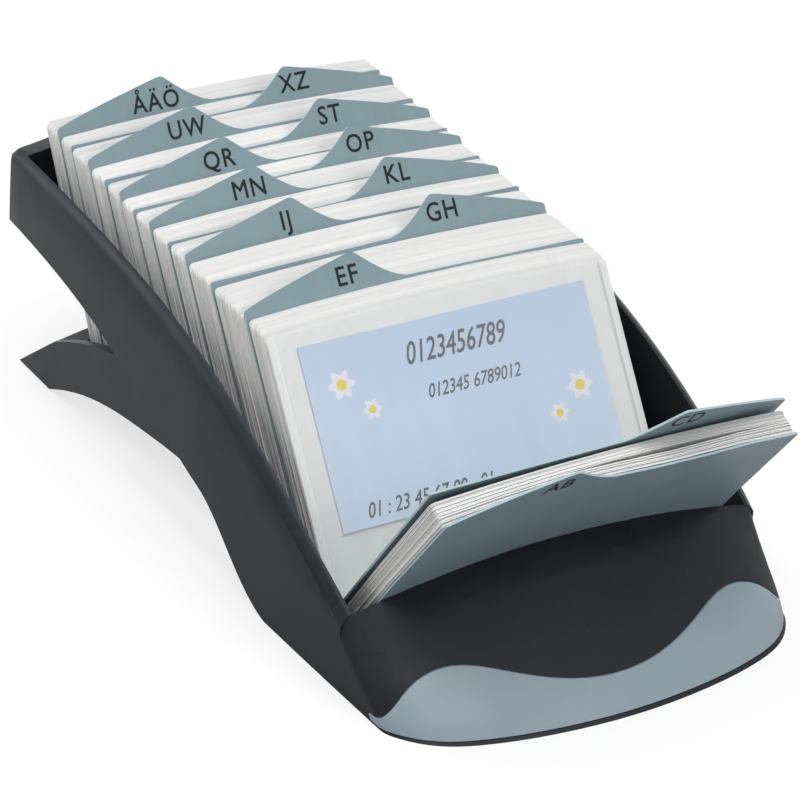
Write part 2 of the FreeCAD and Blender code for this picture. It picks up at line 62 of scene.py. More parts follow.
# The floor: its tone as it lights the file and as the camera sees it, and how much of it glows white.
# In gloss its glow is a pool of light instead, from none at the first depth to all at the second.
FLOOR_TONE = (0.50, 0.50, 0.50)
FLOOR_SEEN_TONE = (0.90, 0.90, 0.90)
FLOOR_GLOW = 0.72
POOL_FADE = (-0.10, 0.22)

# The world's light on the file; the camera sees the world as plain white
SOFT_LIGHT = 0.42

# Lamps: place, what each aims at, width, watts
LAMPS = {
    "overhead_lamp": ((-0.10, -0.05, 1.3), (0, 0, 0.03), 1.3, 17.0),
    "rear_left_lamp": ((-0.42, 0.56, 0.38), (-0.05, 0.05, 0.05), 0.3, 1.2),
    "front_lamp": ((0.4, -1.3, 0.8), (0, 0, 0.03), 0.7, 2.5),
}

# Pockets: outline, the notches that ride on the rails, and how many films each solid pocket stands for
LEAF_WIDTH = 104 * MM
POCKET_HEIGHT = 70.6 * MM
POCKET_CROWN = 1.5 * MM
LEAF_CORNER = 1.3 * MM
RAIL_X = 34 * MM
RAIL_OVER_FOOT = 2.1 * MM
NOTCH_WIDTH = 4.0 * MM
NOTCH_HEIGHT = 5.5 * MM
POCKET_PITCH = 1.4 * MM
FILMS_PER_POCKET = 3
FILM = 0.445 * MM

# How unevenly films stand in a rear pack: up along the leaf, across it, and tilt in degrees
FILM_RISE = (-0.2 * MM, 0.9 * MM)
FILM_SHIFT = (-0.25 * MM, 0.25 * MM)
FILM_TILT = (-0.06, 0.06)

# How many solid pockets each pack has, the sheet of the divider that leads it, and the gap after that
POCKETS = {
    "ab": 5, "cd": 5, "ef": 10, "gh": 7, "ij": 5, "kl": 5, "mn": 5,
    "op": 4, "qr": 5, "st": 5, "uv": 6, "wx": 4, "yz": 5,
}
DIVIDER_SHEET = 0.6 * MM
LEAF_GAP = 0.25 * MM

# Dividers: the low strip slopes down to its end. From its own end the tab rises slowly to a peak, and
# then drops steeply to the strip.
STRIP_AT_TAB = 72.3 * MM
STRIP_AT_END = 71.3 * MM
TAB_OUTER = 72.4 * MM
TAB_PEAK = 81.8 * MM
PEAK_X = 17.5 * MM
TAB_FOOT_X = 3.2 * MM
TAB_RISE = 0.85
TAB_DROP = 1.45
PEAK_ROUND = 0.5 * MM
DIVIDER_CORNER = 0.5 * MM

# Where top edges get their points, across the leaf: a divider's lie close together over its peak
TAB_CUTS_MM = [
    50, 47, 42, 37, 32, 27, 23, 20.5, 19.5, 18.8, 18.2, 17.6, 17, 16.4, 15.7,
    14.6, 13, 11.4, 9.6, 7.8, 5.8, 3.2, -10, -24, -38,
]
FILM_CUTS = [-16 * MM, 0.0, 16 * MM]

# The apron's crown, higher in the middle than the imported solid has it: how far it rises, and the depths
# and heights between which the rise sets in
APRON_HALF_WIDTH = 61.5 * MM
APRON_RISE = 4.6 * MM
APRON_RISE_Y = (-112 * MM, -88 * MM)
APRON_RISE_Z = (12 * MM, 24 * MM)

# Cuts that let the apron's faces follow the crown, on faces over a height that look up or down enough
APRON_BACK_Y = -60 * MM
APRON_LOW_Z = 9 * MM
APRON_FACING_Z = 0.2
APRON_CUT_X = 5 * MM
APRON_CUTS_X = 12
APRON_CUT_Y = 3 * MM
APRON_CUTS_Y = 19

# Degrees over which a moulding's edge stays sharp: at the nose, elsewhere on the cradle, on the others
NOSE_FROM_Y = -78 * MM
NOSE_ANGLE = 25
CRADLE_ANGLE = 50
MOULDING_ANGLE = 40

# Rounding of the base's edges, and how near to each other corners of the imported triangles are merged
BASE_EDGE_ROUND = 0.5 * MM
MERGE_DISTANCE = 0.002 * MM

# The black lip under the trim: its height in the solids and the share of it that stays; what is over it,
# up to the last height, is stretched down to it
LIP_FROM_Y = -80 * MM
LIP_HEIGHT = 1.45 * MM
LIP_SHARE = 0.5
LIP_TO_Z = 3.2 * MM

# The tipped group: how deep its first leaf, its last film and its last divider bend over the crown, and
# the height where the bend is full
GROUP_BOW = 2.8 * MM
LAST_FILM_BOW = 1.4 * MM
LAST_LEAF_BOW = 0.2 * MM
BOW_HEIGHT = 33 * MM

# Its finer films: how unevenly they stand, how much lower the last one is, and how far they open
GROUP_FILMS = 28
GROUP_FILM = 0.190 * MM
GROUP_PITCH = 0.205 * MM
GROUP_RISE = (-0.5 * MM, 0.1 * MM)
GROUP_SHIFT = (-0.2 * MM, 0.2 * MM)
GROUP_DROP = 0.9 * MM
FILMS_OPENED = 0.8

# Its gap on the right: after what share of the films, how wide, where and how far across
GAPE_AFTER = 0.47
GAPE = 1.2 * MM
GAPE_X = 15 * MM
GAPE_HALF_WIDTH = 34 * MM

# The sleeve that leads the rear stack, and the card in it
SLEEVE_FILM = 0.22 * MM
SLEEVE_DEPTH = 1.1 * MM
SLEEVE_TONE = 0.9
WELD_INSET = 2.4 * MM
WELD_FADE = 0.3 * MM
CARD_TOP = 66.3 * MM
CARD_FRONT = 0.40 * MM
CARD_SLANT = 0.34

# A star on the card: its rays, how far they wave in and out, and its middle as a share of it
STAR_RAYS = 6
STAR_WAVE = 0.20
STAR_MIDDLE = 0.36

# Ink stands this far in front of its leaf, and bold letters are flattened to this share of their depth
INK_LIFT = 0.03 * MM
INK_FLATTENED = 0.02

# Index letters: cap height, the same as a share of the font's size, and how bold, narrow and wide set
LETTER_HEIGHT = 5.0 * MM
CAP_SHARE = 0.682
LETTER_WEIGHT = 0.09 * MM
LETTER_SQUEEZE = 0.90
LETTER_SPACING = 1.12

# Middle of a label's foot on a left tab and on a right tab; the label with accents stands lower
LEFT_LABEL = (-20.6 * MM, 73.3 * MM)
RIGHT_LABEL = (20.2 * MM, 74.2 * MM)
ACCENT_DROP = 0.9 * MM
LEFT_TABS = ["ab", "ef", "ij", "mn", "qr", "uv", "yz"]
LABELS = {
    "ab": "AB", "cd": "CD", "ef": "EF", "gh": "GH", "ij": "IJ", "kl": "KL", "mn": "MN",
    "op": "OP", "qr": "QR", "st": "ST", "uv": "UW", "wx": "XZ", "yz": "ÅÄÖ",
}

joints = {joint["name"]: joint for joint in frame["joints"]}


def set_camera():
    """Camera in the photograph's place, built from its angles so that every number is a real one."""
    right = Vector((math.cos(VIEW_AZIMUTH), math.sin(VIEW_AZIMUTH), 0))
    back = Vector((
        math.sin(VIEW_AZIMUTH) * math.cos(VIEW_ELEVATION),
        -math.cos(VIEW_AZIMUTH) * math.cos(VIEW_ELEVATION),
        math.sin(VIEW_ELEVATION),
    ))
    up = back.cross(right)
    side = right * math.cos(VIEW_ROLL) + up * math.sin(VIEW_ROLL)
    top = up * math.cos(VIEW_ROLL) - right * math.sin(VIEW_ROLL)
    data = bpy.data.cameras.new("camera")
    data.sensor_width = SENSOR_MM
    data.lens = FOCAL_PIXELS / PICTURE_PIXELS * SENSOR_MM
    data.clip_start = 0.05
    camera = bpy.data.objects.new("camera", data)
    turn = Matrix((side, top, back)).transposed().to_4x4()
    camera.matrix_world = Matrix.Translation(VIEW_PLACE) @ turn
    bpy.context.collection.objects.link(camera)
    bpy.context.scene.camera = camera
    bpy.context.scene.view_settings.view_transform = "Standard"


def area_lamp(name, place, target, size, watts):
    """Square lamp that faces its target."""
    data = bpy.data.lights.new(name, "AREA")
    data.energy = watts
    data.size = size
    lamp = bpy.data.objects.new(name, data)
    aim = (Vector(place) - Vector(target)).to_track_quat("Z", "Y")
    lamp.matrix_world = Matrix.Translation(place) @ aim.to_matrix().to_4x4()
    bpy.context.collection.objects.link(lamp)


def add_node(tree, kind, inputs=None, **settings):
    """A node with its settings, its input values, and links from other nodes' sockets."""
    node = tree.nodes.new(kind)
    for key, value in settings.items():
        setattr(node, key, value)
    for key, value in (inputs or {}).items():
        if isinstance(value, bpy.types.NodeSocket):
            tree.links.new(value, node.inputs[key])
        else:
            node.inputs[key].default_value = value
    return node


def seen_white(tree):
    """1 for what the camera, a gloss reflection or clear film shows of the background."""
    path = add_node(tree, "ShaderNodeLightPath")
    first = add_node(tree, "ShaderNodeMath", {0: path.outputs["Is Camera Ray"],
                                              1: path.outputs["Is Glossy Ray"]}, operation="MAXIMUM")
    both = add_node(tree, "ShaderNodeMath", {0: first.outputs[0],
                                             1: path.outputs["Is Transmission Ray"]}, operation="MAXIMUM")
    return both.outputs[0]


def set_lights():
    """The lamps, and a world that lights softly and looks white."""
    for name, (place, target, size, watts) in LAMPS.items():
        area_lamp(name, place, target, size, watts)
    world = bpy.data.worlds.new("studio")
    bpy.context.scene.world = world
    world.use_nodes = True
    tree = world.node_tree
    tree.nodes.clear()
    soft = add_node(tree, "ShaderNodeBackground", {"Color": (1, 1, 1, 1), "Strength": SOFT_LIGHT})
    white = add_node(tree, "ShaderNodeBackground", {"Color": (1, 1, 1, 1), "Strength": 1.0})
    mix = add_node(tree, "ShaderNodeMixShader",
                   {0: seen_white(tree), 1: soft.outputs[0], 2: white.outputs[0]})
    add_node(tree, "ShaderNodeOutputWorld", {"Surface": mix.outputs[0]})


def set_floor():
    """White sweep under the file, almost white to the camera, with the file's own shadow."""
    shape = bmesh.new()
    bmesh.ops.create_grid(shape, x_segments=1, y_segments=1, size=4.0)
    floor = finished_object("floor", shape)
    material = bpy.data.materials.new("floor_paper")
    material.use_nodes = True
    tree = material.node_tree
    tree.nodes.clear()
    seen = add_node(tree, "ShaderNodeLightPath").outputs["Is Camera Ray"]
    tone = blended(tree, seen, FLOOR_TONE, FLOOR_SEEN_TONE)
    paper = add_node(tree, "ShaderNodeBsdfPrincipled",
                     {"Base Color": tone, "Roughness": 0.9, "Specular IOR Level": 0.1})
    glow = add_node(tree, "ShaderNodeEmission", {"Color": (1, 1, 1, 1), "Strength": 1.0})
    place = add_node(tree, "ShaderNodeTexCoord").outputs["Object"]
    depth = add_node(tree, "ShaderNodeSeparateXYZ", {0: place}).outputs["Y"]
    pool = add_node(tree, "ShaderNodeMapRange",
                    {"Value": depth, "From Min": POOL_FADE[0], "From Max": POOL_FADE[1]}).outputs["Result"]
    glossy = add_node(tree, "ShaderNodeLightPath").outputs["Is Glossy Ray"]
    lit = add_node(tree, "ShaderNodeMix", {"Factor": glossy, "A": FLOOR_GLOW, "B": pool}).outputs["Result"]
    share = add_node(tree, "ShaderNodeMath", {0: seen_white(tree), 1: lit}, operation="MULTIPLY")
    mix = add_node(tree, "ShaderNodeMixShader",
                   {0: share.outputs[0], 1: paper.outputs[0], 2: glow.outputs[0]})
    add_node(tree, "ShaderNodeOutputMaterial", {"Surface": mix.outputs[0]})
    floor.data.materials.append(material)


def finished_object(name, shape):
    """An object in the scene from a worked shape."""
    mesh = bpy.data.meshes.new(name)
    shape.to_mesh(mesh)
    shape.free()
    made = bpy.data.objects.new(name, mesh)
    bpy.context.collection.objects.link(made)
    return made


# Effects that several finishes share


def effect_group(name, inputs, outputs):
    """An empty shared effect, what it is given and what it makes."""
    group = bpy.data.node_groups.new(name, "ShaderNodeTree")
    for label in inputs:
        kind = "NodeSocketVector" if label == "Vector" else "NodeSocketFloat"
        group.interface.new_socket(label, in_out="INPUT", socket_type=kind)
    for label in outputs:
        group.interface.new_socket(label, in_out="OUTPUT", socket_type="NodeSocketFloat")
    return group, group.nodes.new("NodeGroupInput").outputs, group.nodes.new("NodeGroupOutput").inputs


def moulded_grain():
    """Fine spark-eroded texture of a steel mould, and the slow mottle of the plastic's gloss."""
    group, given, made = effect_group("moulded_grain", ["Vector", "Scale"], ["Height", "Mottle"])
    fine = add_node(group, "ShaderNodeTexNoise",
                    {"Vector": given["Vector"], "Scale": given["Scale"], "Detail": 3.0, "Roughness": 0.6})
    cells = add_node(group, "ShaderNodeTexVoronoi", {"Vector": given["Vector"], "Scale": given["Scale"]})
    height = add_node(group, "ShaderNodeMath", {0: cells.outputs["Distance"], 1: 0.5, 2: fine.outputs[0]},
                      operation="MULTIPLY_ADD")
    slow = add_node(group, "ShaderNodeTexNoise", {"Vector": given["Vector"], "Scale": 70.0, "Detail": 5.0})
    mottle = add_node(group, "ShaderNodeMapRange",
                      {"Value": slow.outputs[0], "From Min": 0.35, "From Max": 0.65})
    group.links.new(height.outputs[0], made["Height"])
    group.links.new(mottle.outputs[0], made["Mottle"])
    return group


def settled_dust():
    """Specks of dust, more of them on faces that look up."""
    group, given, made = effect_group("settled_dust", ["Vector", "Amount"], ["Mask"])
    specks = add_node(group, "ShaderNodeTexNoise",
                      {"Vector": given["Vector"], "Scale": 1500.0, "Detail": 2.0})
    sharp = add_node(group, "ShaderNodeMapRange",
                     {"Value": specks.outputs[0], "From Min": 0.62, "From Max": 0.74})
    facing = add_node(group, "ShaderNodeNewGeometry")
    parts = add_node(group, "ShaderNodeSeparateXYZ", {0: facing.outputs["Normal"]})
    upward = add_node(group, "ShaderNodeMapRange",
                      {"Value": parts.outputs["Z"], "From Min": 0.0, "From Max": 1.0, "To Min": 0.15})
    lying = add_node(group, "ShaderNodeMath",
                     {0: sharp.outputs[0], 1: upward.outputs[0]}, operation="MULTIPLY")
    mask = add_node(group, "ShaderNodeMath",
                    {0: lying.outputs[0], 1: given["Amount"]}, operation="MULTIPLY")
    group.links.new(mask.outputs[0], made["Mask"])
    return group


def drawn_streaks():
    """Long faint streaks along one axis, as calendered film and drawn wire have."""
    group, given, made = effect_group("drawn_streaks", ["Vector", "Scale"], ["Streak"])
    stretched = add_node(group, "ShaderNodeMapping",
                         {"Vector": given["Vector"], "Scale": (1.0, 0.06, 0.06)})
    lines = add_node(group, "ShaderNodeTexNoise",
                     {"Vector": stretched.outputs[0], "Scale": given["Scale"], "Detail": 4.0})
    group.links.new(lines.outputs[0], made["Streak"])
    return group


def placed_group(tree, group, inputs):
    """One use of a shared effect, and its outputs."""
    return add_node(tree, "ShaderNodeGroup", inputs, node_tree=group).outputs


def start_finish(name):
    """Empty material with its shader, and the place on the piece that its patterns read."""
    material = bpy.data.materials.new(name)
    material.use_nodes = True
    tree = material.node_tree
    place = add_node(tree, "ShaderNodeTexCoord").outputs["Object"]
    return material, tree, tree.nodes["Principled BSDF"], place


def blended(tree, share, first, second):
    """Colour between two, by share."""
    mix = add_node(tree, "ShaderNodeMix", data_type="RGBA")
    for socket, value in ((0, share), (6, first), (7, second)):
        if isinstance(value, bpy.types.NodeSocket):
            tree.links.new(value, mix.inputs[socket])
        elif isinstance(value, tuple):
            mix.inputs[socket].default_value = (*value, 1)
        else:
            mix.inputs[socket].default_value = value
    return mix.outputs[2]


def ranged(tree, value, low, high):
    """A 0 to 1 value spread between low and high."""
    spread = add_node(tree, "ShaderNodeMapRange", {"Value": value, "To Min": low, "To Max": high})
    return spread.outputs[0]


def moulded_plastic(name, colour, shade, roughness, grain_scale, grain_depth, dust):
    """Injection-moulded plastic with mould grain, uneven gloss and a little dust."""
    material, tree, shader, place = start_finish(name)
    grain = placed_group(tree, grain_effect, {"Vector": place, "Scale": grain_scale})
    specks = placed_group(tree, dust_effect, {"Vector": place, "Amount": dust})
    plastic = blended(tree, grain["Mottle"], colour, shade)
    dusted = blended(tree, specks["Mask"], plastic, (0.55, 0.54, 0.52))
    tree.links.new(dusted, shader.inputs["Base Color"])
    gloss = ranged(tree, grain["Mottle"], roughness - 0.03, roughness + 0.04)
    tree.links.new(gloss, shader.inputs["Roughness"])
    bump = add_node(tree, "ShaderNodeBump", {"Height": grain["Height"], "Distance": grain_depth})
    tree.links.new(bump.outputs[0], shader.inputs["Normal"])
    return material


def divider_sheet():
    """Satin sheet cut by a die, with a painted highlight that makes its cut edges paler than its faces."""
    material, tree, shader, place = start_finish("divider_plastic")
    edge = add_node(tree, "ShaderNodeAttribute", attribute_name="painted_edge_highlight").outputs["Fac"]
    grain = placed_group(tree, grain_effect, {"Vector": place, "Scale": 1400.0})
    streaks = placed_group(tree, streak_effect, {"Vector": place, "Scale": 260.0})
    sheet = blended(tree, streaks["Streak"], (0.180, 0.262, 0.292), (0.213, 0.297, 0.327))
    # Painted highlight: the edge faces are mixed towards a much paler blue
    highlighted_sheet = blended(tree, edge, sheet, (0.36, 0.48, 0.51))
    tree.links.new(highlighted_sheet, shader.inputs["Base Color"])
    tree.links.new(ranged(tree, grain["Mottle"], 0.40, 0.50), shader.inputs["Roughness"])
    bump = add_node(tree, "ShaderNodeBump", {"Height": grain["Height"], "Distance": 0.012 * MM})
    tree.links.new(bump.outputs[0], shader.inputs["Normal"])
    return material


def pocket_film():
    """Milky film seen in a pack: painted highlight on cut edges, faces a little different in tone leaf to
    leaf.
    """
    material, tree, shader, place = start_finish("pocket_film")
    tone = add_node(tree, "ShaderNodeAttribute", attribute_name="tone").outputs["Fac"]
    edge = add_node(tree, "ShaderNodeAttribute", attribute_name="painted_edge_highlight").outputs["Fac"]
    streaks = placed_group(tree, streak_effect, {"Vector": place, "Scale": 220.0})
    grain = placed_group(tree, grain_effect, {"Vector": place, "Scale": 500.0})
    face = blended(tree, tone, (0.66, 0.665, 0.66), (0.78, 0.78, 0.77))
    # Painted highlight: the edge faces take these paler tones instead of the face tones
    rim = blended(tree, tone, (0.68, 0.68, 0.675), (0.83, 0.825, 0.81))
    film = blended(tree, edge, face, rim)
    hazed = blended(tree, ranged(tree, streaks["Streak"], 0.0, 0.07), film, (0.52, 0.55, 0.56))
    tree.links.new(hazed, shader.inputs["Base Color"])
    tree.links.new(ranged(tree, grain["Mottle"], 0.26, 0.40), shader.inputs["Roughness"])
    bump = add_node(tree, "ShaderNodeBump", {"Height": streaks["Streak"], "Distance": 0.03 * MM})
    tree.links.new(bump.outputs[0], shader.inputs["Normal"])
    return material


def clear_film():
    """Front film of the sleeve: clear enough to read the card, hazier on its welded rim."""
    material, tree, shader, place = start_finish("clear_film")
    parts = add_node(tree, "ShaderNodeSeparateXYZ", {0: place})
    aside = add_node(tree, "ShaderNodeMath", {0: parts.outputs["X"]}, operation="ABSOLUTE")
    weld = add_node(tree, "ShaderNodeMapRange",
                    {"Value": aside.outputs[0], "From Min": LEAF_WIDTH / 2 - WELD_INSET,
                     "From Max": LEAF_WIDTH / 2 - WELD_INSET + WELD_FADE})
    streaks = placed_group(tree, streak_effect, {"Vector": place, "Scale": 90.0})
    grain = placed_group(tree, grain_effect, {"Vector": place, "Scale": 300.0})
    haze = ranged(tree, streaks["Streak"], 0.05, 0.16)
    cover = add_node(tree, "ShaderNodeMath",
                     {0: weld.outputs[0], 1: 0.5, 2: haze}, operation="MULTIPLY_ADD")
    tree.links.new(cover.outputs[0], shader.inputs["Alpha"])
    film = blended(tree, weld.outputs[0], (0.80, 0.81, 0.80), (0.88, 0.885, 0.875))
    tree.links.new(film, shader.inputs["Base Color"])
    tree.links.new(ranged(tree, grain["Mottle"], 0.10, 0.20), shader.inputs["Roughness"])
    bump = add_node(tree, "ShaderNodeBump", {"Height": grain["Mottle"], "Distance": 0.05 * MM})
    tree.links.new(bump.outputs[0], shader.inputs["Normal"])
    return material


def card_stock():
    """Coated card printed in a pale blue that lightens towards its lower edge."""
    material, tree, shader, place = start_finish("card_stock")
    parts = add_node(tree, "ShaderNodeSeparateXYZ", {0: place})
    low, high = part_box("business_card")
    fall = add_node(tree, "ShaderNodeMapRange",
                    {"Value": parts.outputs["Z"], "From Min": high.z, "From Max": low.z})
    grain = placed_group(tree, grain_effect, {"Vector": place, "Scale": 900.0})
    print_tone = blended(tree, fall.outputs[0], (0.44, 0.575, 0.765), (0.60, 0.725, 0.88))
    stock = blended(tree, ranged(tree, grain["Height"], 0.0, 0.10), print_tone, (0.72, 0.80, 0.90))
    tree.links.new(stock, shader.inputs["Base Color"])
    tree.links.new(ranged(tree, grain["Mottle"], 0.38, 0.46), shader.inputs["Roughness"])
    bump = add_node(tree, "ShaderNodeBump", {"Height": grain["Height"], "Distance": 0.004 * MM})
    tree.links.new(bump.outputs[0], shader.inputs["Normal"])
    return material


def ink(name, colour, pale):
    """Screen-printed ink, a touch uneven where it covers the grain."""
    material, tree, shader, place = start_finish(name)
    grain = placed_group(tree, grain_effect, {"Vector": place, "Scale": 2500.0})
    tree.links.new(blended(tree, ranged(tree, grain["Height"], 0.0, 0.5), colour, pale),
                   shader.inputs["Base Color"])
    tree.links.new(ranged(tree, grain["Mottle"], 0.42, 0.55), shader.inputs["Roughness"])
    shader.inputs["Specular IOR Level"].default_value = 0.2
    return material


def drawn_steel(name, colour, roughness):
    """Bare steel with faint drawn streaks and a little dust."""
    material, tree, shader, place = start_finish(name)
    streaks = placed_group(tree, streak_effect, {"Vector": place, "Scale": 900.0})
    specks = placed_group(tree, dust_effect, {"Vector": place, "Amount": 0.25})
    shader.inputs["Metallic"].default_value = 1.0
    metal = blended(tree, streaks["Streak"], colour, tuple(0.8 * part for part in colour))
    tree.links.new(blended(tree, specks["Mask"], metal, (0.4, 0.4, 0.4)), shader.inputs["Base Color"])
    tree.links.new(ranged(tree, streaks["Streak"], roughness - 0.08, roughness + 0.1),
                   shader.inputs["Roughness"])
    return material


# Leaves


def lean_of(joint):
    """How far a leaf leans back, read from the slide that runs up along it."""
    axis = joints[joint]["axis"]
    return math.atan2(axis[1], axis[2])


def leaf_place(foot, lean):
    """Place of a leaf drawn upright: X across it, Y through it to the rear, Z up along it."""
    return Matrix.Translation(foot) @ Matrix.Rotation(-lean, 4, "X")


def rear_place(name):
    """Place of the leaf that leads a rear pack; its hinge lies on that leaf's face, over its foot."""
    lean = lean_of("card_slide" if name == "cd" else "divider_%s_lift" % name)
    hinge = Vector(joints["pack_%s_flip" % name]["pos_m"])
    up = Vector((0, math.sin(lean), math.cos(lean)))
    return leaf_place(hinge - up * RAIL_OVER_FOOT, lean)


def group_place():
    """Place of the tipped group's front divider; the group's hinge is behind its last leaf."""
    lean = lean_of("divider_ab_lift")
    depth = 2 * (DIVIDER_SHEET + LEAF_GAP) + POCKETS["ab"] * POCKET_PITCH
    hinge = Vector(joints["front_group_flip"]["pos_m"])
    return leaf_place(hinge, lean) @ Matrix.Translation((0, -depth, -RAIL_OVER_FOOT))


def crowned(x):
    """Height of a pocket's top edge."""
    return POCKET_HEIGHT + POCKET_CROWN * (1 - (2 * x / LEAF_WIDTH) ** 2)


def tabbed(x):
    """Height of a divider's top edge, for a tab on the right."""
    if x < TAB_FOOT_X:
        share = (TAB_FOOT_X - x) / (LEAF_WIDTH / 2 + TAB_FOOT_X)
        return STRIP_AT_TAB + (STRIP_AT_END - STRIP_AT_TAB) * share
    climbed = (x - TAB_FOOT_X) / (PEAK_X - TAB_FOOT_X)
    inner = STRIP_AT_TAB + (TAB_PEAK - STRIP_AT_TAB) * climbed ** TAB_DROP
    share = max(0.0, LEAF_WIDTH / 2 - x) / (LEAF_WIDTH / 2 - PEAK_X)
    outer = TAB_OUTER + (TAB_PEAK - TAB_OUTER) * share ** TAB_RISE
    lower, higher = sorted((inner, outer))
    return lower - PEAK_ROUND * math.log(1 + math.exp((lower - higher) / PEAK_ROUND))


def cut_through(shape, place, across):
    """Gives every face that crosses a plane an edge there."""
    everything = shape.verts[:] + shape.edges[:] + shape.faces[:]
    bmesh.ops.bisect_plane(shape, geom=everything, plane_co=place, plane_no=across)


def leaf_blank(name, outline, cuts, thickness, corner, side=1):
    """One upright leaf, notched for the rails; its top edge follows the outline at every cut."""
    shape = bmesh.new()
    bmesh.ops.create_grid(shape, x_segments=1, y_segments=1, size=0.5)
    bmesh.ops.scale(shape, vec=(LEAF_WIDTH, POCKET_HEIGHT, 1), verts=shape.verts)
    bmesh.ops.rotate(shape, matrix=Matrix.Rotation(math.radians(90), 3, "X"), verts=shape.verts)
    bmesh.ops.translate(shape, vec=(0, 0, POCKET_HEIGHT / 2), verts=shape.verts)
    corners = [vert for vert in shape.verts if vert.co.z > POCKET_HEIGHT / 2]
    bmesh.ops.bevel(shape, geom=corners, offset=corner, segments=3, profile=0.5,
                    affect="VERTICES", material=-1)
    notch_sides = [end * (RAIL_X + half) for end in (-1, 1) for half in (-NOTCH_WIDTH / 2, NOTCH_WIDTH / 2)]
    for x in notch_sides + cuts:
        cut_through(shape, (x, 0, 0), (1, 0, 0))
    for height in (NOTCH_HEIGHT, BOW_HEIGHT / 2, BOW_HEIGHT):
        cut_through(shape, (0, 0, height), (0, 0, 1))
    notches = []
    for face in shape.faces:
        middle = face.calc_center_median()
        if middle.z < NOTCH_HEIGHT and abs(abs(middle.x) - RAIL_X) < NOTCH_WIDTH / 2:
            notches.append(face)
    bmesh.ops.delete(shape, geom=notches, context="FACES")
    for vert in shape.verts:
        if vert.co.z > BOW_HEIGHT + MM:
            vert.co.z += outline(side * vert.co.x) - POCKET_HEIGHT
    raised = bmesh.ops.extrude_face_region(shape, geom=shape.faces[:])["geom"]
    rear = [part for part in raised if isinstance(part, bmesh.types.BMVert)]
    bmesh.ops.translate(shape, vec=(0, thickness, 0), verts=rear)
    bmesh.ops.recalc_face_normals(shape, faces=shape.faces)
    # Mask of the edge faces, on which the film and divider finishes paint a highlight
    highlight_layer = shape.faces.layers.float.new("painted_edge_highlight")
    shape.faces.layers.float.new("tone")
    for face in shape.faces:
        face[highlight_layer] = 1.0 if abs(face.normal.y) < 0.5 else 0.0
    blank = bpy.data.meshes.new(name)
    shape.to_mesh(blank)
    shape.free()
    return blank


def film_pack(name, sheets, thinner=1.0):
    """One pack as a single piece: a film at every place, each with its own tone."""
    shape = bmesh.new()
    tones = random.Random(name)
    for place, bend in sheets:
        count = len(shape.verts)
        faces = len(shape.faces)
        shape.from_mesh(film_blank)
        shape.verts.ensure_lookup_table()
        shape.faces.ensure_lookup_table()
        tone = tones.uniform(0.0, 1.0)
        tone_layer = shape.faces.layers.float["tone"]
        for face in shape.faces[faces:]:
            face[tone_layer] = tone
        for vert in shape.verts[count:]:
            film = Vector((vert.co.x, vert.co.y * thinner, vert.co.z))
            vert.co = place @ (film + bend(film))
    pack = finished_object("films_" + name, shape)
    pack.data.materials.append(film_finish)
    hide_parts("pockets_" + name)
    return pack


def straight(point):
    """Bend of a leaf that has none."""
    return Vector((0, 0, 0))


def rear_pack(name):
    """Films of a rear pack: their feet follow the rails while every film keeps the pack's lean."""
    start = rear_place(name)
    first = (SLEEVE_DEPTH if name == "cd" else DIVIDER_SHEET) + LEAF_GAP
    pitch = POCKET_PITCH / FILMS_PER_POCKET
    chance = random.Random("stand " + name)
    sheets = []
    for index in range(POCKETS[name] * FILMS_PER_POCKET):
        depth = first + index * pitch
        rise = depth * rail_rise(start) + chance.uniform(*FILM_RISE)
        shift = chance.uniform(*FILM_SHIFT)
        tilt = Matrix.Rotation(math.radians(chance.uniform(*FILM_TILT)), 4, "X")
        sheets.append((start @ Matrix.Translation((shift, depth, rise)) @ tilt, straight))
    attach(film_pack(name, sheets), "pack_" + name)


def rail_rise(start):
    """How far a film's foot rises along the leaf for each step through it, to stay on the rails."""
    turn = start.to_3x3()
    through, up = turn.col[1], turn.col[2]
    return rail_direction.dot(up) / rail_direction.dot(through)


def group_pack():
    """Films of the tipped group: they open upwards, with a narrow gap between two halves."""
    start = group_place()
    chance = random.Random("stand ab")
    sheets = []
    for index in range(GROUP_FILMS):
        turn = group_turn(FILMS_OPENED * (index + 1) / GROUP_FILMS)
        depth = DIVIDER_SHEET + LEAF_GAP + index * GROUP_PITCH
        rise = chance.uniform(*GROUP_RISE) - GROUP_DROP * index / GROUP_FILMS
        shift = Matrix.Translation((chance.uniform(*GROUP_SHIFT), depth, rise))
        deep = GROUP_BOW + (LAST_FILM_BOW - GROUP_BOW) * index / GROUP_FILMS
        gape = GAPE if index < GAPE_AFTER * GROUP_FILMS else 0.0
        sheets.append((start @ shift @ turn, bowed(deep, gape)))
    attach(film_pack("ab", sheets, GROUP_FILM / FILM), "front_group")


def group_turn(opened):
    """How far a leaf of the tipped group has opened from the front divider's lean."""
    return Matrix.Rotation(-(lean_of("divider_cd_lift") - lean_of("divider_ab_lift")) * opened, 4, "X")


def bowed(deep, gape=0.0):
    """Bend of a leaf over the apron's crown; gape holds its top forward where the group opens."""
    def bend(point):
        across = 1 - (point.x / APRON_HALF_WIDTH) ** 2
        right = (point.x - GAPE_X) / GAPE_HALF_WIDTH
        swell = max(0.0, 1 - right * right) ** 2 * min(1.0, point.z / POCKET_HEIGHT) ** 2
        return Vector((0, deep * across * min(1.0, point.z / BOW_HEIGHT) - gape * swell, 0))
    return bend


def divider_stand(name):
    """Place and bend of one divider."""
    if name == "ab":
        return group_place(), bowed(GROUP_BOW, GAPE)
    if name == "cd":
        depth = DIVIDER_SHEET + 2 * LEAF_GAP + POCKETS["ab"] * POCKET_PITCH
        return group_place() @ Matrix.Translation((0, depth, 0)) @ group_turn(1.0), bowed(LAST_LEAF_BOW)
    return rear_place(name), straight


